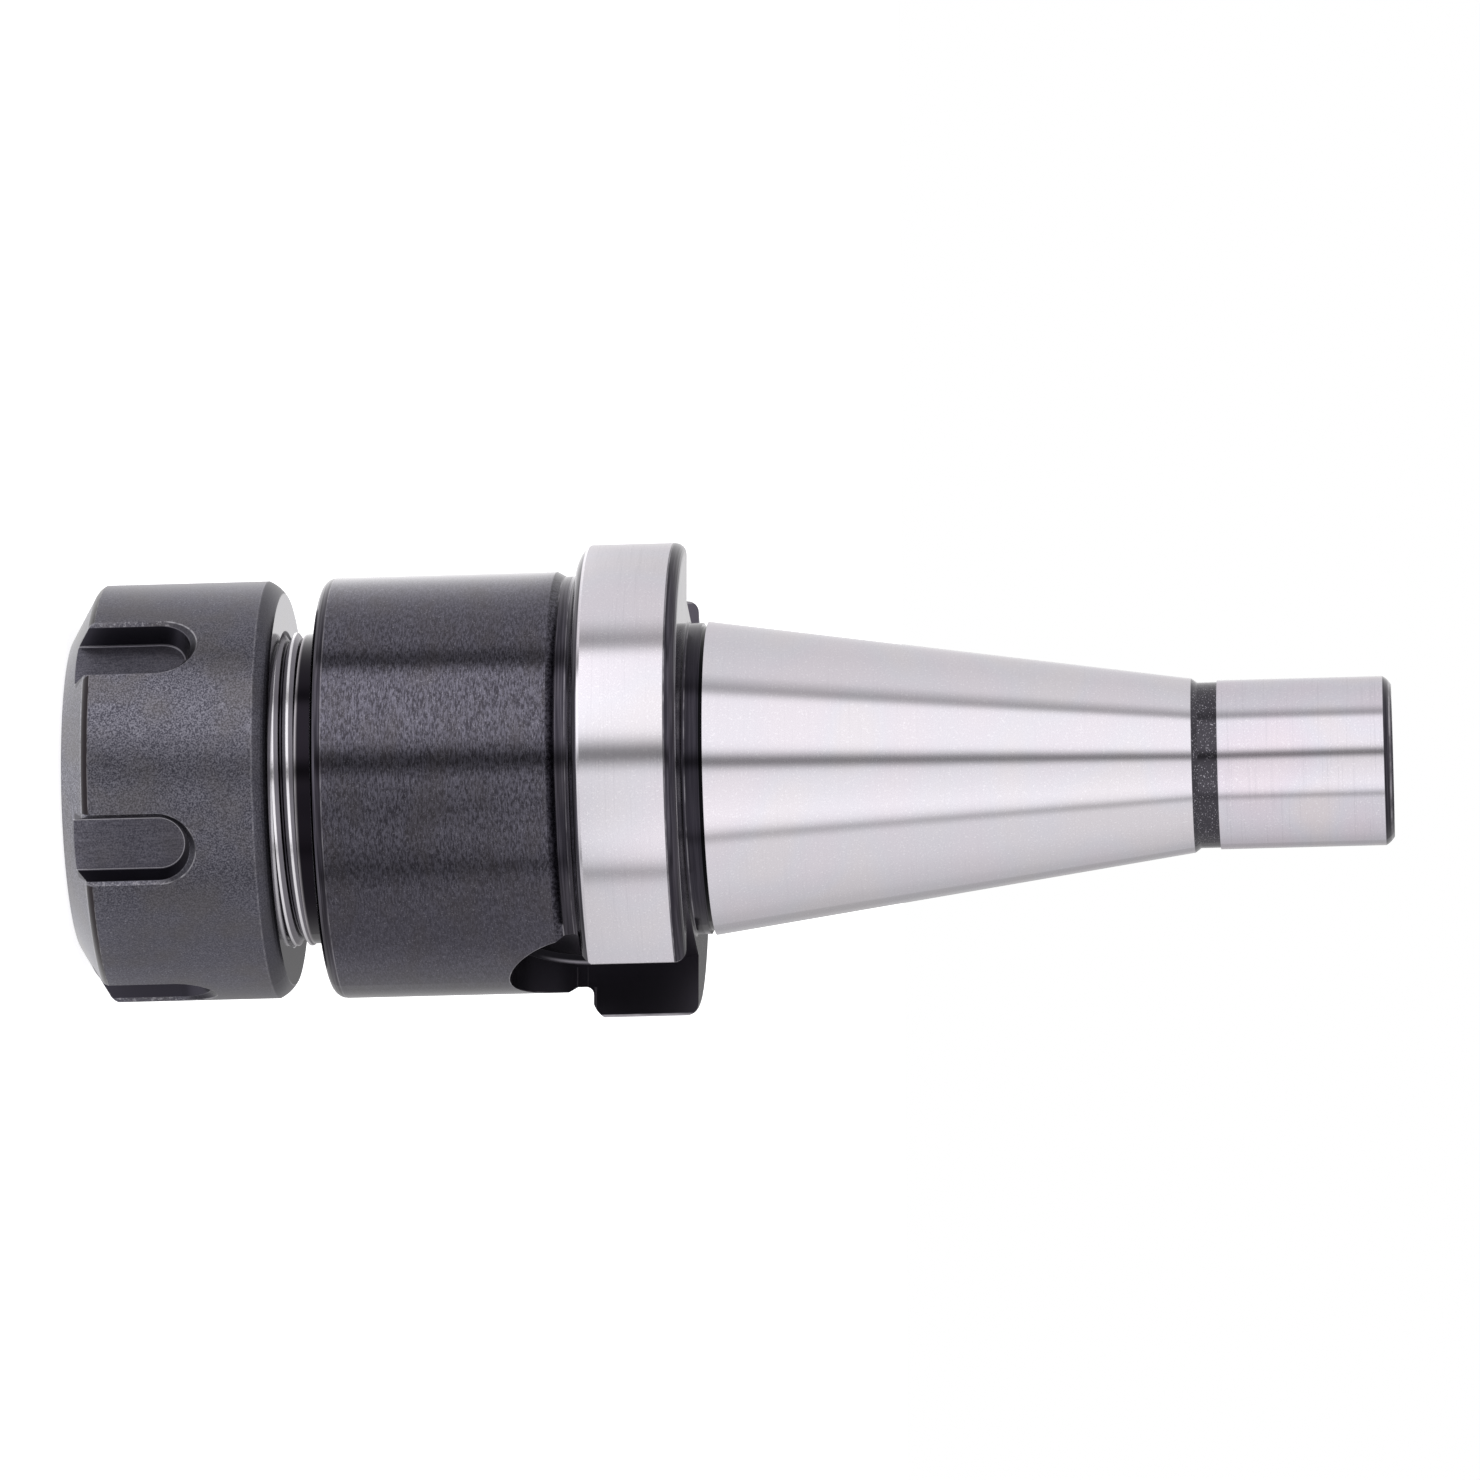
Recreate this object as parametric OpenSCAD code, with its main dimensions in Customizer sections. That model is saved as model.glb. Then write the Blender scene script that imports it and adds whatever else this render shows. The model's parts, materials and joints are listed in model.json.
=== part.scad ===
// Collet chuck holder with a 7:24 taper: a turned holder, a clamping nut and the collet between them.
// The axis is Z. The origin is the centre of the nut's front face, on which the chuck stands.
// Sizes are in millimetres, and the nut is drawn tight.

/* [Collet] */
// Largest diameter of the collet
collet_d = 26; // [25.8:0.1:26.4]
// Length of the collet
collet_len = 34; // [30:0.5:36]
// Diameter that the collet grips
collet_bore_d = 12; // [3:0.5:13]
// Break at the two ends of the collet's bore
bore_edge = 0.5; // [0.2:0.1:1]
// Half angle of the collet's long cone
collet_angle = 8; // [7.5:0.1:8.5]
// Diameter of the collet's front face
collet_face_d = 21.2; // [21:0.1:22.4]
// Half angle of the collet's front cone
front_angle = 30; // [28:0.5:32]
// Length of the land between the front cone and the groove
collet_land = 0.6; // [0.4:0.1:1]
// Width of the extraction groove
groove_w = 2.6; // [2.4:0.1:3.2]
// Depth of the extraction groove
groove_depth = 1.7; // [1.6:0.1:2.2]
// Number of slits cut from each end
slit_count = 8; // [4:1:8]
// Width of a slit
slit_w = 1; // [0.6:0.1:1.2]
// Uncut length that is left at a slit's closed end
slit_web = 4; // [3:0.5:6]

/* [Clamping nut] */
// Diameter of the nut
nut_d = 42.6; // [42:0.1:46]
// Length of the nut
nut_len = 21.35; // [20:0.05:23]
// Diameter of the hole in the nut's front
nut_mouth_d = 20.4; // [18:0.1:20.6]
// Break at the edge of that hole
mouth_edge = 0.4; // [0.2:0.1:0.8]
// Diameter of the nut's flat front face
nut_face_d = 32.2; // [28:0.1:35]
// Angle of the nut's front cone against its face
nut_cone_angle = 30; // [20:1:40]
// Height of the broken corner between the front cone and the outside
nut_front_break = 0.8; // [0.4:0.1:1.5]
// Height of the broken corner at the nut's rear
nut_rear_break = 1.5; // [0.5:0.05:2]
// How deep the collet's face lies behind the nut's face
collet_recess = 1.4; // [1:0.1:2]
// Width of the extraction ring
ring_w = 1.6; // [1:0.1:1.8]
// How far the extraction ring's hole is off centre
ring_offset = 0.75; // [0.5:0.05:0.9]

/* [Spanner slots] */
// Number of spanner slots
spanner_count = 6; // [4:1:8]
// Width of a slot below its broken edges
spanner_w = 6.65; // [5:0.05:8]
// Width of a slot at its floor
spanner_floor_w = 5.25; // [4:0.05:7]
// Depth of a slot
spanner_depth = 2.7; // [1.5:0.1:3]
// Length of a slot from the nut's face, up to its broken edge
spanner_len = 13.3; // [10:0.1:17]
// Break along a slot's outer edges, at its closed end
spanner_break = 0.7; // [0.35:0.05:0.8]
// How far a slot stands past the drive slot when the nut is tight
spanner_turn = 6.4; // [0:0.1:59.9]

/* [Thread] */
// Outer diameter of the thread
thread_d = 32; // [31.4:0.1:33]
// Pitch of the thread
thread_pitch = 1.5; // [1:0.25:1.5]
// Diameter of the plain shank behind the thread
shank_d = 31.6; // [31:0.1:32]
// Length of the plain shank
shank_len = 2.3; // [1.5:0.1:3]

/* [Holder body] */
// Gap between the tight nut and the body
nut_gap = 4.2; // [3:0.05:6]
// Diameter of the body
body_d = 42.9; // [42:0.1:46]
// Length of the body
body_len = 23.85; // [20:0.05:40]
// Radius on the body's front corner
body_round = 1.3; // [0.5:0.05:2]
// Length of the bevel behind the body
body_bevel = 0.9; // [0.5:0.1:1.5]
// Diameter of the neck in front of the flange
neck_d = 41.9; // [38:0.1:41.9]
// Length of the neck
neck_len = 1.6; // [1:0.05:4]
// Radius between the neck and the flange
neck_fillet = 0.8; // [0.3:0.05:1]
// Diameter of the bore behind the collet
back_bore_d = 15; // [10:0.5:16]
// Length of the bore behind the collet
back_bore_len = 26; // [10:1:40]

/* [Flange] */
// Diameter of the flange
flange_d = 48.16; // [47:0.02:52]
// Width of the flange
flange_w = 10.7; // [8:0.05:14]
// Height of the corner break on the flange's front
flange_front_break = 1.1; // [0.3:0.05:1.2]
// Radius on the flange's taper side
flange_round = 1.2; // [0.5:0.05:1.5]
// Width of the two drive slots
drive_w = 16.1; // [14:0.1:18]
// Distance of a drive slot's floor from the axis
drive_floor = 16.2; // [16.1:0.1:18]
// How far a drive slot runs from the flange's taper side
drive_len = 18.5; // [12:0.1:24]

/* [Taper and pilot] */
// Diameter of the taper at its gauge plane
gauge_d = 31.75; // [31.75:0.01:31.95]
// How far the taper runs from the gauge plane to its small end
taper_len = 48.2; // [40:0.1:56]
// How far the taper runs in front of the gauge plane
taper_lead = 0.65; // [0.3:0.05:1.2]
// Distance of the gauge plane from the flange
gauge_gap = 2.77; // [2.2:0.01:4]
// Diameter of the collar beside the flange
collar_d = 31.7; // [31:0.1:32]
// Radius between the flange and the collar
collar_fillet = 0.3; // [0.1:0.05:0.6]
// Diameter of the narrow groove in front of the taper
collar_groove_d = 31; // [30:0.1:31.4]
// Width of the narrow groove in front of the taper
collar_groove_w = 0.55; // [0.3:0.05:0.8]
// Diameter of the groove between the taper and the pilot
pilot_groove_d = 16.8; // [15:0.05:16.9]
// Width of the groove between the taper and the pilot
pilot_groove_w = 2.6; // [1.5:0.1:4]
// Diameter of the pilot
pilot_d = 17.14; // [16.9:0.02:17.4]
// Length of the pilot
pilot_len = 17.6; // [12:0.1:24]
// Height of the broken corner at the pilot's end
pilot_break = 0.85; // [0.4:0.05:1.2]
// Core diameter of the drawbar thread
drawbar_d = 10.2; // [8.5:0.1:10.5]
// Depth of the drawbar thread
drawbar_depth = 30; // [20:1:34]
// Diameter of the centre at the pilot's end
centre_d = 12.8; // [11:0.1:13.5]
// Diameter of the passage between the drawbar thread and the collet
passage_d = 8.5; // [4:0.1:8.5]

/* [Fits] */
// Gap between the collet and the cones that it seats in
seat_gap = 0.05; // [0.02:0.01:0.1]
// Gap between the nut and the holder's thread, at the core
thread_gap = 0.09; // [0.03:0.01:0.1]

/* [Hidden] */
$fn = 96;
arc_steps = 6;
taper_ratio = 7 / 24;
cut = 1;
far = 60;

// Collet, from its front face
collet_r = collet_d / 2;
collet_z = collet_recess;
front_cone_len = (collet_r - collet_face_d / 2) / tan(front_angle);
land_z = collet_z + front_cone_len;
groove_z = land_z + collet_land;
cone_z = groove_z + groove_w;
collet_end_z = collet_z + collet_len;
collet_end_r = collet_r - (collet_end_z - cone_z) * tan(collet_angle);
collet_edge = 0.4;

// Thread, with the core of the nut a running gap outside the core of the holder
thread_core_r = thread_d / 2 - 0.61343 * thread_pitch;
nut_core_r = thread_core_r + thread_gap;
nose_z = cone_z + 0.8;
nose_edge = 0.7;
thread_relief_r = thread_d / 2 + 0.2;
thread_relief_len = 1.4;

// Nut, from its front face
nut_r = nut_d / 2;
front_break_w = 0.8;
nut_cone_r = nut_r - front_break_w;
nut_cone_z = (nut_cone_r - nut_face_d / 2) * tan(nut_cone_angle);
rear_edge_r = nut_r - 0.9 * nut_rear_break;
ring_z = groove_z + (groove_w - ring_w) / 2;
ring_r = collet_r - groove_depth + ring_offset + 0.4;
pocket_r = collet_r + 0.3;
seat_front_r = collet_face_d / 2 + seat_gap / cos(front_angle) - collet_z * tan(front_angle);
spanner_floor = nut_r - spanner_depth;
spanner_end_z = spanner_len - spanner_w / 2;

// Holder, stations along the axis
body_z = nut_len + nut_gap;
shank_z = body_z - shank_len;
body_end_z = body_z + body_len;
neck_z = body_end_z + body_bevel;
flange_z = neck_z + neck_len;
flange_end_z = flange_z + flange_w;
gauge_z = flange_end_z + gauge_gap;
taper_z = gauge_z - taper_lead;
taper_end_z = gauge_z + taper_len;
pilot_z = taper_end_z + pilot_groove_w;
end_z = pilot_z + pilot_len;
socket_end_z = collet_end_z + 1.5;
back_bore_z = socket_end_z + back_bore_len;

// Holder, radii
body_r = body_d / 2;
flange_r = flange_d / 2;
pilot_r = pilot_d / 2;
taper_end_r = taper_radius(taper_end_z);
flange_break_w = 1.27 * flange_front_break;
pilot_step = 0.6;
drive_end_z = flange_end_z - drive_len + drive_w / 2;

function taper_radius(z) = (gauge_d - (z - gauge_z) * taper_ratio) / 2;
function collet_radius(z) = collet_r - (z - cone_z) * tan(collet_angle);
function socket_radius(z) = collet_radius(z) + seat_gap / cos(collet_angle);

// Points of a corner that bulges from a to b: rise is how far its middle stands outside the straight line
function crowned(a, b, rise) = [
    for (i = [0:arc_steps])
        let (t = i / arc_steps, side = [b.y - a.y, a.x - b.x] / norm(b - a))
            a + (b - a) * t + side * rise * 4 * t * (1 - t)
];

// Points of a hollow corner between a cylinder and a shoulder, which lies on one side of it along the axis
function hollow(corner, radius, side) = [
    for (i = [0:arc_steps])
        let (angle = side > 0 ? 90 * (1 - i / arc_steps) : 90 * i / arc_steps)
            corner + radius * [1 - cos(angle), side * (1 - sin(angle))]
];

// Points of a quarter circle about a centre
function quarter(centre, radius, start) = [
    for (i = [0:arc_steps])
        let (angle = start + 90 * i / arc_steps) centre + radius * [cos(angle), sin(angle)]
];

module turned(points) {
    rotate_extrude() polygon(points);
}

// A round hole along Z, from one height to another
module hole(radius, z0, z1) {
    translate([0, 0, z0]) cylinder(r = radius, h = z1 - z0);
}

// A 45 degree break at the mouth of a round hole that opens towards -Z at height z
module widen(radius, z, edge) {
    translate([0, 0, z - cut]) cylinder(r1 = radius + edge + cut, r2 = radius, h = edge + cut);
}

module holder_body() {
    color("dimgray") difference() {
        turned(holder_outline());
        collet_socket();
        hole(back_bore_d / 2, collet_end_z, back_bore_z);
        hole(passage_d / 2, back_bore_z - cut, end_z + cut);
        drawbar_hole();
        for (side = [0, 180]) rotate(side) drive_slot();
    }
}

// Outline of the holder's outside, from the nose to the pilot's end
function holder_outline() = concat(
    [[0, nose_z], [thread_core_r - nose_edge, nose_z], [thread_core_r, nose_z + nose_edge]],
    [[thread_core_r, shank_z], [shank_d / 2, shank_z + 0.3], [shank_d / 2, body_z]],
    quarter([body_r - body_round, body_z + body_round], body_round, -90),
    [[body_r, body_end_z], [neck_d / 2, neck_z]],
    hollow([neck_d / 2, flange_z], neck_fillet, -1),
    crowned([flange_r - flange_break_w, flange_z], [flange_r, flange_z + flange_front_break], 0.15),
    quarter([flange_r - flange_round, flange_end_z - flange_round], flange_round, 0),
    hollow([collar_d / 2, flange_end_z], collar_fillet, 1),
    [[collar_d / 2, taper_z - collar_groove_w]],
    [[collar_groove_d / 2, taper_z - collar_groove_w], [collar_groove_d / 2, taper_z]],
    [[taper_radius(taper_z), taper_z], [taper_end_r, taper_end_z]],
    [[pilot_groove_d / 2, taper_end_z + pilot_step], [pilot_groove_d / 2, pilot_z], [pilot_r, pilot_z]],
    crowned([pilot_r, end_z - pilot_break], [pilot_r - pilot_break, end_z], 0.08),
    [[0, end_z]]
);

// The cone that the collet seats in, with its broken mouth
module collet_socket() {
    mouth_r = socket_radius(nose_z);
    translate([0, 0, nose_z - cut])
        cylinder(r1 = socket_radius(nose_z - cut), r2 = socket_radius(socket_end_z), h = socket_end_z - nose_z + cut);
    widen(mouth_r, nose_z, collet_edge);
}

// The drawbar thread's core, opened by a centre at the pilot's end
module drawbar_hole() {
    hole(drawbar_d / 2, end_z - drawbar_depth, end_z + cut);
    centre_len = (centre_d - drawbar_d) / 2 / tan(30);
    translate([0, 0, end_z - centre_len])
        cylinder(r1 = drawbar_d / 2, r2 = centre_d / 2 + cut * tan(30), h = centre_len + cut);
}

// Milled keyway with a round end, cut from the taper's side
module drive_slot() {
    translate([drive_floor, -drive_w / 2, drive_end_z])
        cube([far, drive_w, flange_end_z - drive_end_z + cut]);
    translate([drive_floor, 0, drive_end_z]) rotate([0, 90, 0]) cylinder(r = drive_w / 2, h = far);
}

module clamping_nut() {
    color("#3a3a40") difference() {
        turned(nut_outline());
        nut_inside();
        for (i = [0:spanner_count - 1]) rotate(spanner_turn + i * 360 / spanner_count) spanner_slot();
    }
}

// Outline of the nut's outside, from its face to its rear
function nut_outline() = concat(
    [[0, 0], [nut_face_d / 2, 0]],
    crowned([nut_cone_r, nut_cone_z], [nut_r, nut_cone_z + nut_front_break], 0.1),
    crowned([nut_r, nut_len - nut_rear_break], [rear_edge_r, nut_len], 0.15),
    [[0, nut_len]]
);

// Everything that is bored out of the nut, from the mouth to the thread
module nut_inside() {
    hole(nut_mouth_d / 2, -cut, land_z);
    widen(nut_mouth_d / 2, 0, mouth_edge);
    seat_r = collet_r + seat_gap / cos(front_angle);
    cylinder(r1 = seat_front_r, r2 = seat_r, h = land_z);
    hole(pocket_r, land_z, ring_z);
    translate([ring_offset, 0, 0]) hole(ring_r, ring_z - cut, ring_z + ring_w + cut);
    hole(thread_relief_r, ring_z + ring_w, ring_z + ring_w + thread_relief_len);
    hole(nut_core_r, ring_z + ring_w, nut_len + cut);
    entry = thread_relief_r - nut_core_r;
    translate([0, 0, nut_len - entry]) cylinder(r1 = nut_core_r, r2 = thread_relief_r + cut, h = entry + cut);
}

// One spanner slot at +X: drafted walls, a round end and a break along its edges
module spanner_slot() {
    edge_r = nut_r - spanner_break;
    translate([0, 0, -cut]) linear_extrude(spanner_end_z + cut) polygon([
        [spanner_floor, -spanner_floor_w / 2], [edge_r, -spanner_w / 2], [edge_r + 2, -spanner_w / 2 - 2],
        [edge_r + 2, spanner_w / 2 + 2], [edge_r, spanner_w / 2], [spanner_floor, spanner_floor_w / 2]
    ]);
    translate([spanner_floor, 0, spanner_end_z]) rotate([0, 90, 0])
        cylinder(r1 = spanner_floor_w / 2, r2 = spanner_w / 2, h = edge_r - spanner_floor);
    translate([edge_r, 0, spanner_end_z]) rotate([0, 90, 0])
        cylinder(r1 = spanner_w / 2, r2 = spanner_w / 2 + 2, h = 2);
}

module collet() {
    color("silver") difference() {
        turned(collet_outline());
        hole(collet_bore_d / 2, collet_z - cut, collet_end_z + cut);
        widen(collet_bore_d / 2, collet_z, bore_edge);
        translate([0, 0, collet_end_z]) mirror([0, 0, 1]) widen(collet_bore_d / 2, 0, bore_edge);
        for (i = [0:slit_count - 1]) rotate(i * 360 / slit_count) {
            slit(collet_z - cut, collet_end_z - slit_web);
            rotate(180 / slit_count) slit(collet_z + slit_web, collet_end_z + cut);
        }
    }
}

// Outline of the collet's outside, from its front face to its small end
function collet_outline() = [
    [0, collet_z], [collet_face_d / 2, collet_z], [collet_r, land_z], [collet_r, groove_z],
    [collet_r - groove_depth, groove_z], [collet_r - groove_depth, cone_z], [collet_r, cone_z],
    [collet_end_r + collet_edge * tan(collet_angle), collet_end_z - collet_edge],
    [collet_end_r - collet_edge, collet_end_z], [0, collet_end_z]
];

// A saw cut from the bore to the outside, at +X
module slit(z0, z1) {
    translate([0, -slit_w / 2, z0]) cube([far, slit_w, z1 - z0]);
}

holder_body();
clamping_nut();
collet();
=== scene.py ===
# %% [markdown]
# # A collet chuck holder in steel
#
# This lesson dresses a small machine tool part: a taper that seats in a milling spindle, a flange with
# two keyways, a round body and a nut that closes a collet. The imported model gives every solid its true
# size, so nothing here changes a size. What is added is what the eye reads as steel: ground and blackened
# surfaces, a thread, worn edges, and the light of a photographer's tent.

import json
import math
from types import SimpleNamespace

import bmesh
import bpy
from mathutils import Matrix, Vector


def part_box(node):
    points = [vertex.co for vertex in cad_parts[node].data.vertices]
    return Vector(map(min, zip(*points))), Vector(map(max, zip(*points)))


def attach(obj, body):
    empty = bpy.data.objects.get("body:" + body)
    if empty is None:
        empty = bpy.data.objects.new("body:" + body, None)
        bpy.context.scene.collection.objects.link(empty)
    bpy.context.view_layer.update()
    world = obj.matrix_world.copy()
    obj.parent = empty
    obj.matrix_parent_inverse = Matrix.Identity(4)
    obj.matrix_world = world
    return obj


MM = 0.001
FULL_TURN = 2 * math.pi

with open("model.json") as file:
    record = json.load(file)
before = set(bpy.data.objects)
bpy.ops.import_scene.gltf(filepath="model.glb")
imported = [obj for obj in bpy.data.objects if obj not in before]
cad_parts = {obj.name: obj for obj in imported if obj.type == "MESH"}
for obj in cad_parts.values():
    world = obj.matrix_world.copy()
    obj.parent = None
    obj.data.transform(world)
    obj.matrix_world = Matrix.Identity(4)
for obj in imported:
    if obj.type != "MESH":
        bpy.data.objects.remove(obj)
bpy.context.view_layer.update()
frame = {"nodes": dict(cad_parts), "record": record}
record = frame["record"]
mounts = {mount["name"]: mount for mount in record["mounts"]}
nodes = frame["nodes"]
print("pieces from the model:", sorted(nodes))

# %% [markdown]
# ## Heights along the axis
#
# The chuck stands on the nut, and its axis is Z. Most finishes of a turned part change at a shoulder, so
# a few heights place them all. They come from the model's own mating faces where it states one, and the
# rest are counted from those.

# %% Heights, in millimetres
flange_face = mounts["flange_face"]["pos_m"][2] / MM
gauge_plane = mounts["spindle_taper"]["pos_m"][2] / MM
pilot_middle = mounts["pilot"]["pos_m"][2] / MM
pilot_half = mounts["pilot"]["dims"]["length_mm"] / 2
pilot_start = pilot_middle - pilot_half
pilot_end = pilot_middle + pilot_half
nut_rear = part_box("clamping_nut")[1].z / MM
nut_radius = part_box("clamping_nut")[1].x / MM
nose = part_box("holder_body")[0].z / MM
top_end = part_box("holder_body")[1].z / MM

flange_width = 10.7
flange_front_break = 0.82
flange_rear_round = 1.21
taper_before_gauge = 0.65
pilot_neck_width = 2.6
shank_length = 4.2
body_corner = 1.25
body_length = 23.85
body_bevel = 0.84
flange_radius = 24.08
body_radius = 21.45

flange_front = flange_face - flange_width
band_low = flange_front + flange_front_break
band_high = flange_face - flange_rear_round
taper_low = gauge_plane - taper_before_gauge
taper_high = pilot_start - pilot_neck_width
body_front = nut_rear + shank_length
body_rear = body_front + body_length
barrel_start = body_front + body_corner
bevel_end = body_rear + body_bevel
spans = {
    "ground band": (band_low, band_high),
    "taper": (taper_low, taper_high),
    "body": (body_front, body_rear),
    "pilot": (pilot_start, pilot_end),
}
for name, (low, high) in spans.items():
    print(name, "from", round(low, 2), "to", round(high, 2))

# %% [markdown]
# ## The camera
#
# The photograph was taken with a long lens, a little above the middle of the part and turned towards its
# pilot, and then laid on its side: the part's axis runs across the picture. A camera is easiest to place
# by its aim, its direction round the part, its height, its distance and its roll.

# %% Camera
AIM = Vector((-3.614, -1.231, 67.516)) * MM
AZIMUTH = math.radians(21.0)
ELEVATION = math.radians(3.893)
ROLL = math.radians(88.475)
DISTANCE = 1059.2 * MM
LENS = 253.09

towards_camera = Vector((
    math.sin(AZIMUTH) * math.cos(ELEVATION),
    -math.cos(AZIMUTH) * math.cos(ELEVATION),
    math.sin(ELEVATION),
))
camera = bpy.data.objects.new("camera", bpy.data.cameras.new("camera"))
bpy.context.scene.collection.objects.link(camera)
camera.data.lens = LENS
camera.data.clip_start = 0.05
camera.data.clip_end = 20
level_view = (-towards_camera).to_track_quat("-Z", "Y").to_matrix()
rolled_view = level_view @ Matrix.Rotation(ROLL, 3, "Z")
camera.matrix_world = Matrix.Translation(AIM + towards_camera * DISTANCE) @ rolled_view.to_4x4()
bpy.context.scene.camera = camera
print("camera at", [round(c / MM, 1) for c in camera.location])

# %% [markdown]
# ## One function that adds a node
#
# Colours are written as hex values, as a colour picker shows them, and turned to the linear values that
# the shader needs. One function adds a node, sets it and links it, and gives back the output that is
# used. Its inputs are given in the order of the sockets, or by name where the order skips some.

# %% Add a node
def linear(hex_colour):
    channels = [int(hex_colour[i:i + 2], 16) / 255 for i in (1, 3, 5)]
    return [c / 12.92 if c <= 0.04045 else ((c + 0.055) / 1.055) ** 2.4 for c in channels] + [1.0]


def add(tree, kind, inputs=(), output=0, **settings):
    made = tree.nodes.new("ShaderNode" + kind)
    for name, value in settings.items():
        setattr(made, name, value)
    by_socket = inputs if isinstance(inputs, dict) else dict(enumerate(inputs))
    for socket, value in by_socket.items():
        if isinstance(value, bpy.types.NodeSocket):
            tree.links.new(value, made.inputs[socket])
        else:
            made.inputs[socket].default_value = value
    return made.outputs[output] if made.outputs else None


# %% [markdown]
# ## Masks and layers
#
# A finish is drawn as layers of colour, and each layer has a mask: a value that is 1 where the layer
# shows and 0 elsewhere. A mask has soft edges, because a hard one looks cut out with scissors. Masks that
# all have to hold are multiplied, and where any one is enough the largest counts.

# %% Masks and layers
def soft_edge(tree, value, start, end):
    low, high = sorted((start, end))
    rising = add(tree, "MapRange", (value, low, high), interpolation_type="SMOOTHSTEP")
    return rising if start < end else add(tree, "Math", (1.0, rising), operation="SUBTRACT")


def between(tree, value, low, high, soft):
    risen = soft_edge(tree, value, low - soft, low + soft)
    fallen = soft_edge(tree, value, high - soft, high + soft)
    return add(tree, "Math", (risen, fallen), operation="SUBTRACT")


def product(tree, first, *others):
    for other in others:
        first = add(tree, "Math", (first, other), operation="MULTIPLY")
    return first


def largest(tree, first, *others):
    for other in others:
        first = add(tree, "Math", (first, other), operation="MAXIMUM")
    return first


def beyond(tree, value, limit):
    past = add(tree, "Math", (value, limit), operation="SUBTRACT")
    return add(tree, "Math", (past, 0.0), operation="MAXIMUM")


def layer(tree, under, over, *masks):
    under, over = (linear(c) if isinstance(c, str) else c for c in (under, over))
    share = product(tree, *masks)
    return add(tree, "Mix", {0: share, 6: under, 7: over}, output=2, data_type="RGBA")


# %% [markdown]
# ## Bare metal
#
# All pieces are steel, so they share one shader: a metal whose colour is what it mirrors. The relief is a
# height in millimetres. It turns the surface's normals and leaves its shape alone.

# %% Bare metal
def new_material(name):
    material = bpy.data.materials.new(name)
    material.use_nodes = True
    material.node_tree.nodes.clear()
    return material, material.node_tree


def metal_surface(tree, colour, roughness, relief):
    bump = add(tree, "Bump", {"Height": relief, "Distance": MM, "Strength": 1.0})
    metal = add(tree, "BsdfPrincipled",
                {"Base Color": colour, "Metallic": 1.0, "Roughness": roughness, "Normal": bump})
    add(tree, "OutputMaterial", {"Surface": metal})


# %% [markdown]
# ## Where on the part a point is
#
# A turned part is best described by its height along the axis and its distance from it. Object
# coordinates give both in metres, so they are first turned to millimetres, and all patterns below are
# sized in millimetres.
#
# A grain is a noise with its waves in a millimetre along X, Y and Z, its octaves and their strength.
# A material may not look at the camera. Grain looks strongest where the surface faces the light squarely,
# and calmer where it turns away, so its contrast is painted by side: the strong side is a fixed angle
# round the part. The contrast is drawn in towards the grain's mean, so that a calm place is no darker
# than the rest.

# %% Place on the part
GRAIN_SIDE = math.radians(-79)
GRAIN_FACING = (0.6, 0.95)
GRAIN_MEAN = 0.44
CALM_GRAIN = 0.45


def place_on_part(tree):
    coordinates = add(tree, "TexCoord", output="Object")
    in_mm = add(tree, "VectorMath", {0: coordinates, "Scale": 1 / MM}, operation="SCALE")
    x, y, height = add(tree, "SeparateXYZ", [in_mm]).node.outputs
    flat = add(tree, "VectorMath", (in_mm, (1, 1, 0)), operation="MULTIPLY")
    radius = add(tree, "VectorMath", [flat], output="Value", operation="LENGTH")
    return SimpleNamespace(point=in_mm, x=x, y=y, height=height, radius=radius)


def grain(tree, place, waves, octaves, strength):
    stretched = add(tree, "VectorMath", (place.point, waves), operation="MULTIPLY")
    return add(tree, "TexNoise",
               {"Vector": stretched, "Scale": 1.0, "Detail": octaves, "Roughness": strength})


def calmed_grain(tree, place, noise, low, high):
    from_x = product(tree, place.x, math.cos(GRAIN_SIDE))
    towards = add(tree, "Math", (place.y, math.sin(GRAIN_SIDE), from_x), operation="MULTIPLY_ADD")
    facing = soft_edge(tree, add(tree, "Math", (towards, place.radius), operation="DIVIDE"), *GRAIN_FACING)
    strength = add(tree, "Math", (facing, 1 - CALM_GRAIN, CALM_GRAIN), operation="MULTIPLY_ADD")
    from_mean = add(tree, "Math", (soft_edge(tree, noise, low, high), GRAIN_MEAN), operation="SUBTRACT")
    return add(tree, "Math", (from_mean, strength, GRAIN_MEAN), operation="MULTIPLY_ADD")


def distance_in_slot(tree, across, past_centre):
    both = add(tree, "CombineXYZ", (across, past_centre))
    return add(tree, "VectorMath", [both], output="Value", operation="LENGTH")


# %% [markdown]
# ## A thread as a value
#
# On a thread, one turn round the axis is worth one pitch along it. So the height in pitches less the turn
# is the same all along one crest. Inside the holder and the nut a thread is only seen at a slant, if at
# all, and there a bump on a plain bore is enough: a wave that goes up and down once a pitch.

# %% Along a thread
def along_thread(tree, place, pitch):
    angle = add(tree, "Math", (place.y, place.x), operation="ARCTAN2")
    turn = add(tree, "Math", (angle, FULL_TURN), operation="DIVIDE")
    climbed = add(tree, "Math", (place.height, pitch), operation="DIVIDE")
    return add(tree, "Math", (climbed, turn), operation="SUBTRACT")


def inner_thread(tree, place, pitch):
    return add(tree, "Math", (along_thread(tree, place, pitch), 0.5), operation="PINGPONG")


# %% [markdown]
# ## Where the holder is ground
#
# The holder is one piece of steel. It was blackened in a hot oxide bath, and then the flange's rim, the
# taper and the pilot were ground bright. So one material has both finishes, and heights and radii say
# which one shows.

# %% Ground zones
PAST_BORE = (7.6, 8.0)


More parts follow.
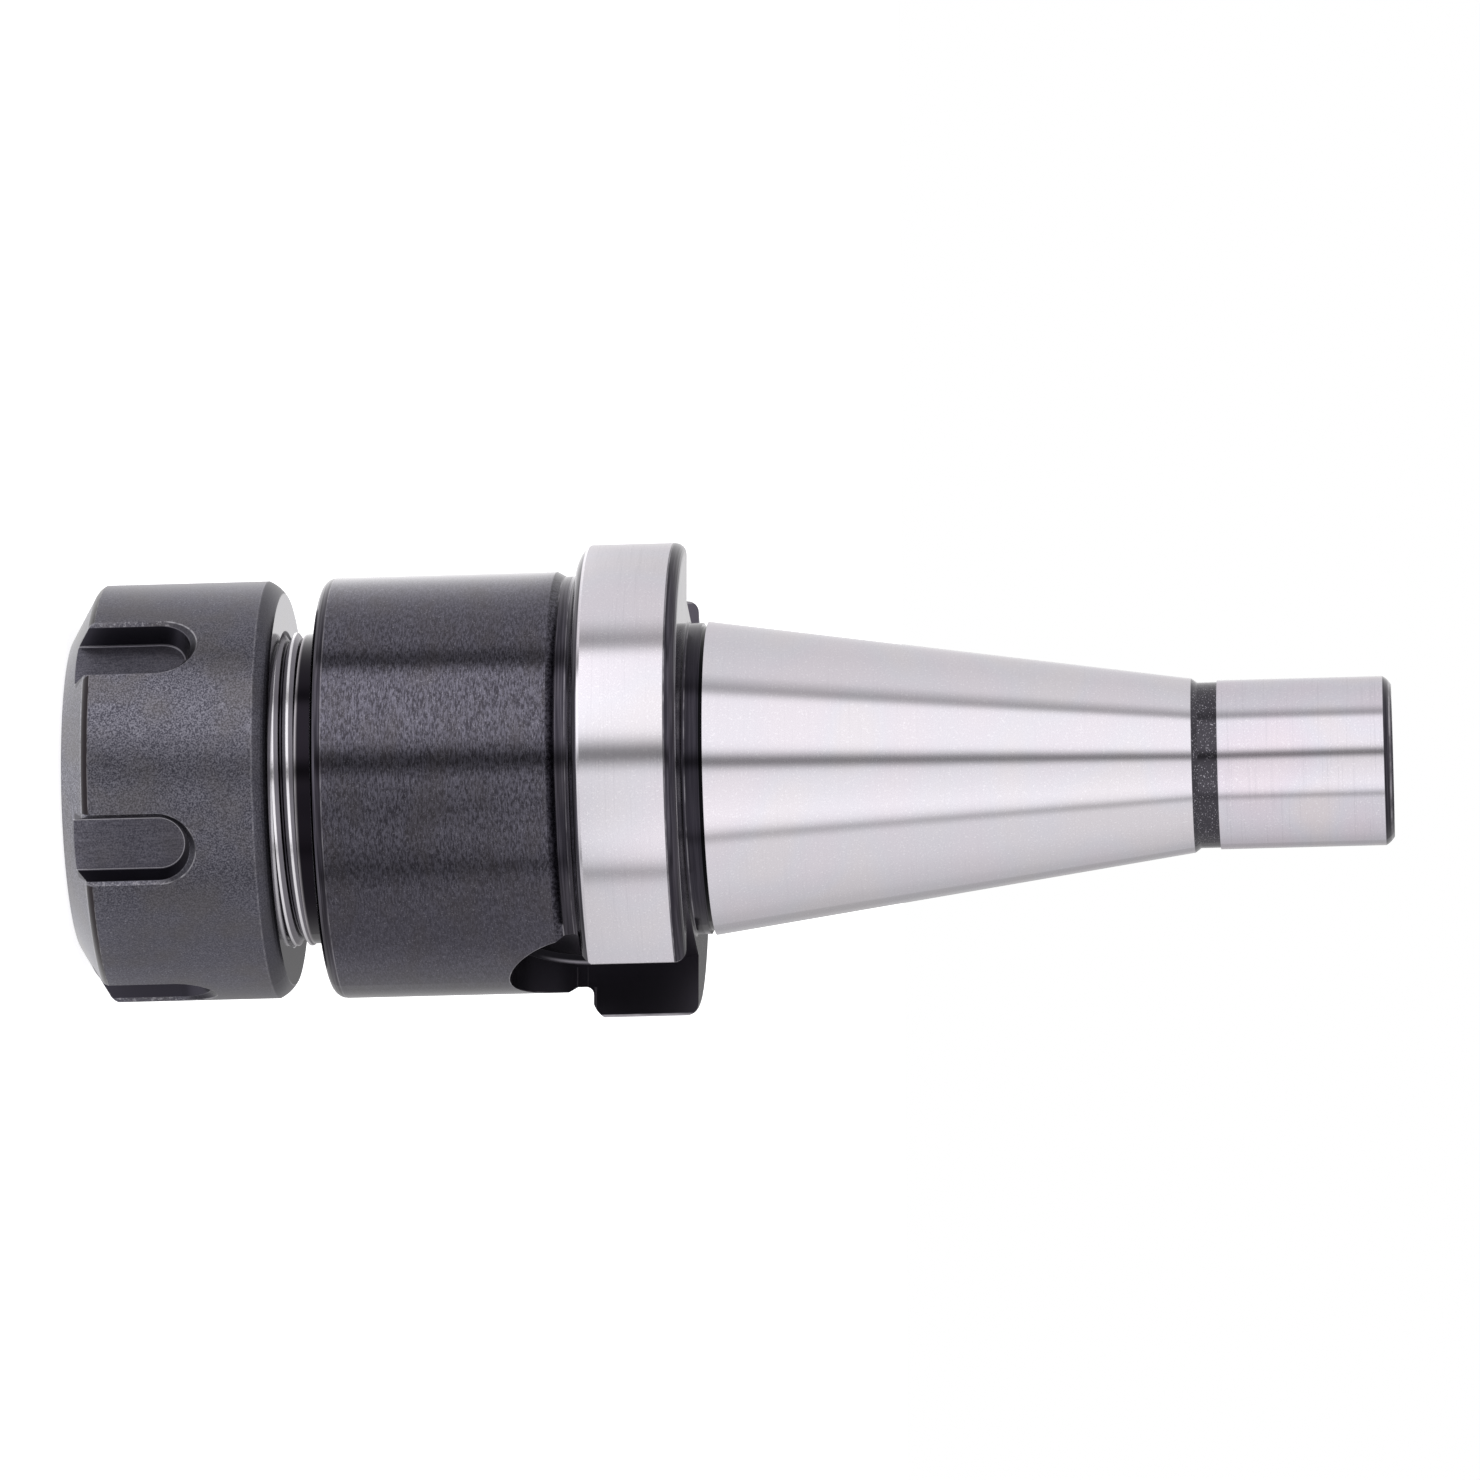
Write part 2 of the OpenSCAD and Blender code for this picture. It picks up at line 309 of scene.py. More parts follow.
def ground_zones(tree, place):
    on_rim = soft_edge(tree, place.radius, flange_radius - 0.5, flange_radius - 0.4)
    band = product(tree, between(tree, place.height, band_low, band_high, 0.05), on_rim)
    outside = soft_edge(tree, place.radius, *PAST_BORE)
    taper = between(tree, place.height, taper_low, taper_high, 0.04)
    pilot = between(tree, place.height, pilot_start, pilot_end, 0.04)
    shaft = product(tree, add(tree, "Math", (taper, pilot), operation="ADD"), outside)
    return SimpleNamespace(
        band=band,
        taper=product(tree, taper, outside),
        pilot=product(tree, pilot, outside),
        anywhere=largest(tree, band, shaft),
    )


# %% [markdown]
# ## The two keyways
#
# The keyways were milled before the bath and stay black inside, and their outlines are rubbed bright. The
# cutter's worn corner left a small fillet between wall and floor, and the edge between wall and rim was
# broken with a file. The model is sharp in both places, so both are drawn as a bump. The fillet's height
# falls as fast from the wall as from the floor, which makes a face at 45 degrees, and part of it mirrors
# the tent. The fillet's colour is painted as well: near black as painted shade in the corner, with a light
# grey band across it as a painted highlight.

# %% Keyways
KEYWAY_HALF = 8.05
KEYWAY_LENGTH = 18.5
KEYWAY_CENTRE = flange_face - KEYWAY_LENGTH + KEYWAY_HALF
KEYWAY_FLOOR = 16.2
KEYWAY_FILLET = 0.75
KEYWAY_SIDE = (body_front + 10, body_front + 11)
# Band of the fillet's painted highlight, above the floor in mm: start, end and softness.
FILLET_PAINTED_HIGHLIGHT = (0.38, 0.62, 0.14)


def keyways(tree, place):
    past_centre = add(tree, "Math", (place.height, KEYWAY_CENTRE), operation="SUBTRACT")
    into_end = add(tree, "Math", (past_centre, 0.0), operation="MINIMUM")
    distance = distance_in_slot(tree, place.y, into_end)
    outward = add(tree, "Math", [place.x], operation="ABSOLUTE")
    inside = product(tree, soft_edge(tree, distance, KEYWAY_HALF + 0.04, KEYWAY_HALF + 0.01),
                     soft_edge(tree, outward, KEYWAY_FLOOR - 0.12, KEYWAY_FLOOR - 0.05),
                     soft_edge(tree, place.height, *KEYWAY_SIDE))
    on_body = product(tree, soft_edge(tree, place.radius, body_radius - 0.14, body_radius - 0.06),
                      soft_edge(tree, place.height, body_rear, body_rear - 0.1))
    on_flange = soft_edge(tree, place.radius, flange_radius - 0.34, flange_radius - 0.22)
    outline = product(tree, between(tree, distance, KEYWAY_HALF - 0.05, KEYWAY_HALF + 0.07, 0.04),
                      largest(tree, on_body, on_flange))
    rounded_end = product(tree, soft_edge(tree, into_end, -0.5, -3.0), inside)
    wall = between(tree, distance, KEYWAY_HALF - 0.04, KEYWAY_HALF + 0.03, 0.02)
    broken_edge = product(tree, wall,
                          soft_edge(tree, place.radius, flange_radius - 0.3, flange_radius + 0.05),
                          soft_edge(tree, place.height, flange_front, flange_front + 0.5))
    from_wall = beyond(tree, KEYWAY_HALF, distance)
    from_floor = beyond(tree, outward, KEYWAY_FLOOR)
    corner = add(tree, "Math", (KEYWAY_FILLET, from_wall), operation="SUBTRACT")
    fillet = product(tree, beyond(tree, corner, from_floor), inside,
                     soft_edge(tree, place.height, flange_front - 0.1, flange_front - 0.4))
    # Mask of the fillet's painted highlight, fading out towards the keyway's rounded end.
    fillet_painted_highlight = product(tree, between(tree, from_floor, *FILLET_PAINTED_HIGHLIGHT),
                           soft_edge(tree, into_end, -6.0, -1.8))
    return SimpleNamespace(inside=inside, outline=outline, rounded_end=rounded_end, broken_edge=broken_edge,
                           fillet=fillet, fillet_painted_highlight=fillet_painted_highlight)


# %% [markdown]
# ## Blackened zones
#
# The bath leaves the same film everywhere, but what lies under it differs. The barrel of the body was
# turned finely, the bevel behind it coarsely, and the plain shank has one bright ring beside the nut,
# where the thread runs out. The narrow groove at the taper's foot is painted near black, as painted shade.

# %% Blackened zones
GROOVE_WIDTH = 0.42
COLLAR_RADIUS = 15.8
SHANK_RADIUS = 15.8
PILOT_NECK_RADIUS = 7.0
NECK_RADIUS = 19.0


def oxide_zones(tree, place):
    height, radius = place.height, place.radius
    barrel = product(tree, between(tree, height, barrel_start, body_rear, 0.05),
                     soft_edge(tree, radius, body_radius - 0.15, body_radius - 0.08))
    bevel = product(tree, between(tree, height, body_rear + 0.03, bevel_end - 0.04, 0.03),
                    soft_edge(tree, radius, NECK_RADIUS + 0.5, NECK_RADIUS + 0.6))
    shank = product(tree, between(tree, height, nut_rear + 1.8, body_front - 0.02, 0.02),
                    soft_edge(tree, radius, SHANK_RADIUS - 0.2, SHANK_RADIUS - 0.1),
                    soft_edge(tree, radius, SHANK_RADIUS + 0.2, SHANK_RADIUS + 0.1))
    bright_shank = product(tree, shank, soft_edge(tree, height, nut_rear + 2.5, nut_rear + 2.2))
    pilot_neck = product(tree, between(tree, height, taper_high, pilot_start, 0.03),
                         soft_edge(tree, radius, PILOT_NECK_RADIUS, PILOT_NECK_RADIUS + 0.1))
    collar = product(tree, soft_edge(tree, height, flange_face + 0.02, flange_face + 0.1),
                     soft_edge(tree, height, taper_low, taper_low - 0.05))
    # Painted shade: the groove at the taper's foot.
    groove = product(tree, between(tree, height, taper_low - GROOVE_WIDTH, taper_low - 0.02, 0.03),
                     soft_edge(tree, radius, COLLAR_RADIUS + 0.02, COLLAR_RADIUS - 0.05))
    return SimpleNamespace(barrel=barrel, bevel=bevel, shank=shank, bright_shank=bright_shank,
                           collar=collar, groove=groove, pilot_neck=pilot_neck)


# %% [markdown]
# ## Rubbed edges and a painted highlight
#
# Handling rubs the oxide off every sharp edge. On a turned part those edges are thin rings. One ring of
# the holder, at the collar's root, is a painted highlight instead. Each ring below has its height, the
# least radius where it shows, half its width, and how bright it is.

# %% Rubbed edges and a painted highlight
HOLDER_RINGS = [
    (barrel_start, body_radius - 0.1, 0.05, 0.55),
    (bevel_end, NECK_RADIUS, 0.05, 0.65),
    (body_rear + 1.9, NECK_RADIUS, 0.04, 0.45),
    (flange_front + 0.18, 21.0, 0.12, 0.75),
    (band_high + 0.1, flange_radius - 0.1, 0.05, 0.8),
    # A painted highlight at the collar's root, where a small fillet would catch the light.
    (flange_face + 0.3, COLLAR_RADIUS, 0.06, 0.5),
    (top_end - 0.22, 6.5, 0.09, 1.0),
]


def worn_and_highlight_rings(tree, place, rings):
    worn = 0.0
    # Most rings are rubbed edges; the one at the holder's collar root is a painted highlight.
    for ring_height, least_radius, half_width, brightness in rings:
        line = between(tree, place.height, ring_height - half_width, ring_height + half_width, 0.05)
        on_ring = soft_edge(tree, place.radius, least_radius - 0.05, least_radius)
        worn = add(tree, "Math", (product(tree, line, on_ring, brightness), worn), operation="MAXIMUM")
    return worn


def patchy(tree, noise, low, high, least):
    patches = soft_edge(tree, noise, low, high)
    return add(tree, "Math", (patches, 1 - least, least), operation="MULTIPLY_ADD")


# %% [markdown]
# ## Ground steel
#
# Ground steel mirrors its surroundings in a slightly soft way. The grinding wheel leaves fine rings, which
# are drawn 0.2 mm apart because finer ones would not show, and thin interference colours lie over it in
# patches of 6 to 10 mm. The rings show most on the pilot and least on the taper.

# %% Ground steel
STEEL_PATCHES = [(0.30, "#E6D8DF"), (0.43, "#DFD5E0"), (0.56, "#D9DAE3"), (0.70, "#E4DBD9")]
PATCH_GRAIN = ((0.10, 0.10, 0.16), 0.0, 0.5)
PATCH_SHARE = 0.2
RING_SHARE = 0.3
RINGS_OFF_TAPER = -0.7
RINGS_OFF_BAND = -0.35
GRIT_SHARE = 0.5
RING_GRAIN = ((0.10, 0.10, 4.6), 2.0, 0.6)
GRIT_GRAIN = ((5.5, 5.5, 5.5), 1.0, 0.5)


def steel_colour(tree, place, zones, rings, grit):
    patches = add(tree, "ValToRGB", [grain(tree, place, *PATCH_GRAIN)])
    stops = patches.node.color_ramp.elements
    for stop, (position, hex_colour) in zip(stops, (STEEL_PATCHES[0], STEEL_PATCHES[-1])):
        stop.position = position
        stop.color = linear(hex_colour)
    for position, hex_colour in STEEL_PATCHES[1:-1]:
        stops.new(position).color = linear(hex_colour)
    plain = layer(tree, "#DBD8DE", "#D6D1D9", zones.pilot)
    patch_share = add(tree, "Math", (zones.pilot, PATCH_SHARE, PATCH_SHARE), operation="MULTIPLY_ADD")
    steel = layer(tree, plain, patches, patch_share)
    ring_share = add(tree, "Math", (zones.taper, RINGS_OFF_TAPER, 1.0), operation="MULTIPLY_ADD")
    ring_share = add(tree, "Math", (zones.band, RINGS_OFF_BAND, ring_share), operation="MULTIPLY_ADD")
    steel = layer(tree, steel, "#B9B6BE", soft_edge(tree, rings, 0.5, 0.8), ring_share, RING_SHARE)
    return layer(tree, steel, "#F6F4F7", soft_edge(tree, grit, 0.55, 0.8), GRIT_SHARE)


# %% [markdown]
# ## Black oxide
#
# Black oxide is a film of magnetite over steel. It is a weak dark mirror with a violet cast, so it is given
# as a metal with a dark colour. The lathe's rings show in it as short streaks, 0.6 mm long and 0.16 mm
# wide, and the grit of the bath as grains of 0.2 mm. The real ones are finer, and these are as coarse as
# they need to show. Each zone gets its own layer, and the keyways come last because they were cut last.

# %% Black oxide
STREAK_GRAIN = ((1.7, 1.7, 6.2), 2.0, 0.65)
SPECK_GRAIN = ((5.5, 5.5, 8.0), 1.0, 0.5)
MOTTLE_GRAIN = ((3.0, 3.0, 4.0), 2.0, 0.6)
CLOUD_GRAIN = ((0.14, 0.14, 0.3), 2.0, 0.5)


def oxide_colour(tree, place, zones, keyway, rings, streaks):
    specks = soft_edge(tree, grain(tree, place, *SPECK_GRAIN), 0.60, 0.72)
    mottling = soft_edge(tree, grain(tree, place, *MOTTLE_GRAIN), 0.38, 0.62)
    clouds = soft_edge(tree, grain(tree, place, *CLOUD_GRAIN), 0.45, 0.7)

    turned = layer(tree, "#302E35", "#504D55", soft_edge(tree, rings, 0.35, 0.7))
    barrel = layer(tree, "#3B3940", "#676570", calmed_grain(tree, place, streaks, 0.34, 0.68))
    oxide = layer(tree, turned, barrel, zones.barrel)
    cloud_share = add(tree, "Math", (zones.barrel, 0.25, 0.15), operation="MULTIPLY_ADD")
    oxide = layer(tree, oxide, "#4E4A4C", clouds, cloud_share)
    oxide = layer(tree, oxide, layer(tree, "#2E2C33", "#54525B", mottling), zones.bevel)
    oxide = layer(tree, oxide, "#211E24", zones.shank)
    oxide = layer(tree, oxide, "#A09CA0", zones.bright_shank)
    oxide = layer(tree, oxide, "#2E2C33", zones.collar, 0.6)
    # Painted shade: the groove near black.
    oxide = layer(tree, oxide, "#0E0E10", zones.groove)
    oxide = layer(tree, oxide, "#47454B", zones.pilot_neck)
    speckled = add(tree, "Math", (zones.barrel, 0.3, zones.pilot_neck), operation="MULTIPLY_ADD")
    oxide = layer(tree, oxide, "#A19FA6", specks, speckled)
    oxide = layer(tree, oxide, "#55525A", keyway.inside)
    oxide = layer(tree, oxide, "#38363C", keyway.rounded_end, 0.9)
    # Painted shade and highlight on the fillet: near black in the corner, light grey on a band across it.
    fillet = layer(tree, "#1C1B1F", "#8F8C94", keyway.fillet_painted_highlight)
    return layer(tree, oxide, fillet, soft_edge(tree, keyway.fillet, 0.0, 0.05))


# %% [markdown]
# ## The holder's material
#
# The zones now choose between the two colours, and the rubbed edges go on top, brighter in some places
# than in others, with the painted highlight at the collar's root among them. The relief adds up what a
# finger could feel: the streaks, the grit, the broken edges and the fillets of the keyways, and the
# drawbar's thread in the pilot's end.

# %% Holder material
HOLDER_WEAR = ((0.35, 0.35, 0.35), 3.0, 0.6)
DRAWBAR_PITCH = 1.75
DRAWBAR_START = top_end - 30.0
DRAWBAR_RADIUS = 5.3
THREAD_DEPTH = 1.2
STREAK_HEIGHT = 0.0011
GRIT_HEIGHT = 0.0003
BROKEN_EDGE_HEIGHT = -0.3
OXIDE_ROUGHNESS = 0.14
GROUND_SMOOTHER = -0.01
BARREL_SMOOTHER = -0.02
KEYWAY_ROUGHER = 0.2


def holder_material():
    material, tree = new_material("ground_and_blackened_steel")
    place = place_on_part(tree)
    zones = ground_zones(tree, place)
    oxide_zone = oxide_zones(tree, place)
    keyway = keyways(tree, place)
    ground = product(tree, zones.anywhere, add(tree, "Math", (1.0, keyway.inside), operation="SUBTRACT"))
    rings = grain(tree, place, *RING_GRAIN)
    streaks = grain(tree, place, *STREAK_GRAIN)
    grit = grain(tree, place, *GRIT_GRAIN)

    oxide = oxide_colour(tree, place, oxide_zone, keyway, rings, streaks)
    steel = steel_colour(tree, place, zones, rings, grit)
    colour = layer(tree, oxide, steel, ground)
    wear = patchy(tree, grain(tree, place, *HOLDER_WEAR), 0.36, 0.62, 0.25)
    # Rubbed edges, and the painted highlight at the collar's root.
    edges = largest(tree, worn_and_highlight_rings(tree, place, HOLDER_RINGS), keyway.outline)
    colour = layer(tree, colour, "#B9B6BC", edges, wear, 0.8)
    colour = layer(tree, colour, "#DCD9DE", keyway.broken_edge)

    in_drawbar_hole = product(tree, soft_edge(tree, place.height, DRAWBAR_START, DRAWBAR_START + 0.5),
                              soft_edge(tree, place.radius, DRAWBAR_RADIUS + 0.2, DRAWBAR_RADIUS))
    thread = inner_thread(tree, place, DRAWBAR_PITCH)
    thread = product(tree, thread, in_drawbar_hole, DRAWBAR_PITCH * THREAD_DEPTH)
    relief = product(tree, streaks, product(tree, oxide_zone.barrel, STREAK_HEIGHT))
    relief = add(tree, "Math", (grit, GRIT_HEIGHT, relief), operation="MULTIPLY_ADD")
    relief = add(tree, "Math", (keyway.broken_edge, BROKEN_EDGE_HEIGHT, relief), operation="MULTIPLY_ADD")
    relief = add(tree, "Math", (relief, keyway.fillet), operation="ADD")
    relief = add(tree, "Math", (relief, thread), operation="ADD")
    roughness = add(tree, "Math", (ground, GROUND_SMOOTHER, OXIDE_ROUGHNESS), operation="MULTIPLY_ADD")
    roughness = add(tree, "Math", (oxide_zone.barrel, BARREL_SMOOTHER, roughness), operation="MULTIPLY_ADD")
    roughness = add(tree, "Math", (keyway.inside, KEYWAY_ROUGHER, roughness), operation="MULTIPLY_ADD")
    metal_surface(tree, colour, roughness, relief)
    return material


nodes["holder_body"].material_slots[0].material = holder_material()
print("holder finished with", len(HOLDER_RINGS), "rubbed rings")


# %% [markdown]
# ## Places on the nut
#
# The nut has six spanner slots with drafted walls and a broken edge. A place on it is folded into one
# slot's sixth of the turn, which gives a distance from the slot's middle line that holds for all six. The
# edges where a wall meets the outside are rubbed bright, and the folds where a wall meets the floor get a
# thin painted highlight.

# %% Zones of the nut
PITCH = 1.5
SLOT_COUNT = 6
SLOT_TURN = math.radians(6.4)
SLOT_HALF = 6.65 / 2
SLOT_FLOOR_HALF = 5.25 / 2
SLOT_LENGTH = 13.3
SLOT_DEPTH = 2.7
SLOT_BREAK = 0.7
SLOT_CENTRE = SLOT_LENGTH - SLOT_HALF
SLOT_FLOOR = nut_radius - SLOT_DEPTH


def spanner_slots(tree, place):
    half_share = math.pi / SLOT_COUNT
    angle = add(tree, "Math", (place.y, place.x), operation="ARCTAN2")
    from_slot = add(tree, "Math", (angle, SLOT_TURN), operation="SUBTRACT")
    folded = add(tree, "Math", (from_slot, half_share, -half_share), operation="WRAP")
    outward = product(tree, place.radius, add(tree, "Math", [folded], operation="COSINE"))
    across = product(tree, place.radius, add(tree, "Math", [folded], operation="SINE"))
    past = beyond(tree, place.height, SLOT_CENTRE)
    distance = distance_in_slot(tree, across, past)
    on_skin = soft_edge(tree, place.radius, nut_radius - 0.12, nut_radius - 0.05)
    # Painted highlight: a thin line along the fold where the slot's wall meets its floor.
    foot = product(tree, between(tree, distance, SLOT_FLOOR_HALF - 0.06, SLOT_FLOOR_HALF + 0.08, 0.03),
                   soft_edge(tree, outward, SLOT_FLOOR + 0.2, SLOT_FLOOR + 0.08),
                   soft_edge(tree, outward, SLOT_FLOOR - 0.14, SLOT_FLOOR - 0.08))
    less_outward = add(tree, "Math", (distance, outward), operation="SUBTRACT")
    past_edge = add(tree, "Math", (less_outward, SLOT_HALF - nut_radius + SLOT_BREAK), operation="SUBTRACT")
    at_end = add(tree, "Math", (soft_edge(tree, past, 0.2, 1.0), 0.6, 0.2), operation="MULTIPLY_ADD")
    rim = product(tree, between(tree, past_edge, -0.03, 0.05, 0.03), on_skin, at_end)
    bevel = product(tree, soft_edge(tree, past_edge, 0.06, -0.02),
                    soft_edge(tree, distance, SLOT_HALF, SLOT_HALF + 0.1),
                    soft_edge(tree, outward, nut_radius - SLOT_BREAK - 0.1, nut_radius - SLOT_BREAK))
    # The bevel near the slot's end, which is painted darker as painted shade.
    bevel_end = product(tree, bevel, soft_edge(tree, past, 0.1, 1.6))
    off_slot = soft_edge(tree, distance, SLOT_HALF + 0.35, SLOT_HALF + 0.45)
    wall = product(tree, soft_edge(tree, distance, SLOT_FLOOR_HALF + 0.02, SLOT_FLOOR_HALF + 0.08),
                   soft_edge(tree, distance, SLOT_HALF + 0.05, SLOT_HALF),
                   soft_edge(tree, outward, SLOT_FLOOR + 0.05, SLOT_FLOOR + 0.15))
    floor = product(tree, soft_edge(tree, distance, SLOT_FLOOR_HALF, SLOT_FLOOR_HALF - 0.05),
                    soft_edge(tree, outward, SLOT_FLOOR + 0.15, SLOT_FLOOR + 0.05),
                    soft_edge(tree, outward, SLOT_FLOOR - 0.3, SLOT_FLOOR - 0.2))
    return SimpleNamespace(foot=foot, rim=rim, bevel=bevel, bevel_end=bevel_end, off_slot=off_slot,
                           wall=wall, floor=floor)


# %% [markdown]
# ## The blackened nut
#
# The nut had the same oxide bath, over a surface that was tumbled rather than turned. That gives an even,
# fine grain with no rings, drawn 0.17 mm wide so that it shows, and a softer mirror than the body's. Its
# rear face was not tumbled and stays a clearer mirror. The slots' floors keep the cutter's marks, and the
# bevels are black. At each slot's end the bevel is painted darker still, as painted shade.

# %% Nut colour
NUT_GRAIN = ((6.0, 6.0, 6.0), 2.0, 0.6)
NUT_GRIT = ((5.2, 5.2, 5.2), 1.0, 0.5)
NUT_CLOUDS = ((0.2, 0.2, 0.2), 2.0, 0.5)
CUTTER_MARKS = ((5.0, 5.0, 0.5), 2.0, 0.6)
NUT_WEAR = ((0.8, 0.8, 0.8), 3.0, 0.65)
NUT_SPECKS = ((2.6, 2.6, 2.6), 2.0, 0.7)
FRONT_CORNER = 2.54
FRONT_BREAK = 0.8
NUT_RINGS = [
    (nut_rear - 1.5, nut_radius - 0.06, 0.07, 0.3),
    (FRONT_CORNER, nut_radius - 0.9, 0.04, 0.6),
    (FRONT_CORNER + FRONT_BREAK, nut_radius - 0.06, 0.04, 0.5),
]


def nut_colour(tree, place, fine_grain):
    slots = spanner_slots(tree, place)
    grit = soft_edge(tree, grain(tree, place, *NUT_GRIT), 0.63, 0.76)
    clouds = soft_edge(tree, grain(tree, place, *NUT_CLOUDS), 0.4, 0.7)
    cutter_marks = soft_edge(tree, grain(tree, place, *CUTTER_MARKS), 0.35, 0.7)

    colour = layer(tree, "#46454E", "#7D7C86", calmed_grain(tree, place, fine_grain, 0.36, 0.68))
    colour = layer(tree, colour, "#A9A7B0", grit, 0.4)
    colour = layer(tree, colour, "#65615F", clouds, 0.4)
    colour = layer(tree, colour, layer(tree, "#3F3D46", "#57555E", cutter_marks), slots.floor, 0.55)
    colour = layer(tree, colour, "#3A3840", slots.wall)
    colour = layer(tree, colour, "#3A3940", soft_edge(tree, place.height, nut_rear - 1.5, nut_rear - 1.3),
                   soft_edge(tree, place.radius, nut_radius - 1.5, nut_radius - 1.4), 0.6)
    front_bevel = between(tree, place.height, FRONT_CORNER + 0.1, FRONT_CORNER + FRONT_BREAK + 0.03, 0.04)
    colour = layer(tree, colour, "#2A2629", front_bevel,
                   soft_edge(tree, place.radius, nut_radius - 0.95, nut_radius - 0.9), slots.off_slot)
    # Painted shade: the bevel at each slot's end is darkened further.
    colour = layer(tree, colour, "#2B2A30", slots.bevel_end, 0.85)

    wear = patchy(tree, grain(tree, place, *NUT_WEAR), 0.38, 0.64, 0.2)
    specks = soft_edge(tree, grain(tree, place, *NUT_SPECKS), 0.5, 0.68)
    side_bevel = add(tree, "Math", (slots.bevel, slots.bevel_end), operation="SUBTRACT")
    # Rubbed edges and bevel specks, and the painted highlight along each slot's fold.
    rubbed_and_highlit = largest(tree, product(tree, worn_and_highlight_rings(tree, place, NUT_RINGS), wear),
                     product(tree, slots.rim, wear), product(tree, side_bevel, specks, 0.8),
                     product(tree, slots.foot, 0.95))
    return layer(tree, colour, "#B8B6BC", rubbed_and_highlit, 0.75)


# %% [markdown]
# ## The nut's material
#
# The nut's relief is its grain, and inside it the thread. Only the turned rear face mirrors sharply.

# %% Nut material
NUT_ROUGHNESS = 0.32
REAR_FACE_ROUGHNESS = 0.06
NUT_GRAIN_HEIGHT = 0.0024
NUT_BORE = (14.9, 15.4)


def nut_material():
    material, tree = new_material("blackened_tumbled_steel")
    place = place_on_part(tree)
    fine_grain = grain(tree, place, *NUT_GRAIN)
    in_bore = product(tree, between(tree, place.radius, *NUT_BORE, 0.05),
                      soft_edge(tree, place.height, nut_rear - 0.8, nut_rear - 1.2))
    thread = product(tree, inner_thread(tree, place, PITCH), in_bore, PITCH * THREAD_DEPTH)
    relief = add(tree, "Math", (fine_grain, NUT_GRAIN_HEIGHT, thread), operation="MULTIPLY_ADD")
    rear_face = soft_edge(tree, place.height, nut_rear - 0.06, nut_rear - 0.02)
    smoother = REAR_FACE_ROUGHNESS - NUT_ROUGHNESS
    roughness = add(tree, "Math", (rear_face, smoother, NUT_ROUGHNESS), operation="MULTIPLY_ADD")
    metal_surface(tree, nut_colour(tree, place, fine_grain), roughness, relief)
    return material


nodes["clamping_nut"].material_slots[0].material = nut_material()
print("nut finished with", SLOT_COUNT, "slots and", len(NUT_RINGS), "rubbed rings")


# %% [markdown]
# ## The collet
#
# A collet is spring steel, hardened and then fine ground all over, and it stays bright. The wheel's rings
# are drawn 0.25 mm apart, as coarse as they need to show.

# %% Collet material
COLLET_RINGS = ((0.15, 0.15, 4.0), 2.0, 0.6)
COLLET_RING_HEIGHT = 0.002
COLLET_ROUGHNESS = 0.24


def collet_material():
    material, tree = new_material("fine_ground_spring_steel")
    place = place_on_part(tree)
    rings = grain(tree, place, *COLLET_RINGS)
    colour = layer(tree, "#B9B8BC", "#CFCED2", soft_edge(tree, rings, 0.35, 0.7))
    metal_surface(tree, colour, COLLET_ROUGHNESS, product(tree, rings, COLLET_RING_HEIGHT))
    return material


nodes["collet"].material_slots[0].material = collet_material()
print("collet finished")


# %% [markdown]
# ## The thread
#
# Between the nut and the body a few turns of a fine right-hand thread show. The model keeps the holder
# plain at the thread's core, so the thread is a ridge laid round that core: one small trapezoid, spun
# round the axis while it climbs one pitch a turn. The spin operator does both at once. Its foot lies a
# little inside the core, so that no gap shows.

# %% Thread
CREST_RADIUS = 16.0
DEPTH_IN_PITCHES = 0.61343
CORE_RADIUS = CREST_RADIUS - DEPTH_IN_PITCHES * PITCH
HALF_ROOT = PITCH * 0.46
HALF_CREST = PITCH / 16
FOOT_INSIDE = 0.06
STEPS_A_TURN = 96
CREST_HEIGHT = 22.85
CREST_ANGLE = math.radians(-85)
THREAD_START = nose + 0.9
THREAD_TOP = 23.45


def thread_ridge():
    start_angle = CREST_ANGLE - (CREST_HEIGHT - THREAD_START) / PITCH * FULL_TURN
    foot = CORE_RADIUS - FOOT_INSIDE
    outline = [
        (foot, -HALF_ROOT), (CORE_RADIUS, -HALF_ROOT), (CREST_RADIUS, -HALF_CREST),
        (CREST_RADIUS, HALF_CREST), (CORE_RADIUS, HALF_ROOT), (foot, HALF_ROOT),
    ]
    form = bmesh.new()
    corners = [form.verts.new((r * MM, 0, (THREAD_START + z) * MM)) for r, z in outline]
    form.faces.new(corners)
    profile = form.edges[:]
    bmesh.ops.rotate(form, verts=corners, cent=(0, 0, 0), matrix=Matrix.Rotation(start_angle, 3, "Z"))
    steps = round((THREAD_TOP - THREAD_START) / PITCH * STEPS_A_TURN)
    climb = Vector((0, 0, PITCH / STEPS_A_TURN * MM))
    spun = bmesh.ops.spin(form, geom=profile, cent=(0, 0, 0), axis=(0, 0, 1), dvec=climb,
                          angle=steps / STEPS_A_TURN * FULL_TURN, steps=steps, use_duplicate=False)
    end = [item for item in spun["geom_last"] if isinstance(item, bmesh.types.BMVert)]
    form.faces.new(end)
    bmesh.ops.recalc_face_normals(form, faces=form.faces)
    print("thread:", steps, "steps,", len(form.faces), "faces")
    return form


form = thread_ridge()
mesh = bpy.data.meshes.new("thread")
form.to_mesh(mesh)
form.free()
thread = bpy.data.objects.new("thread", mesh)
bpy.context.scene.collection.objects.link(thread)
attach(thread, "holder")


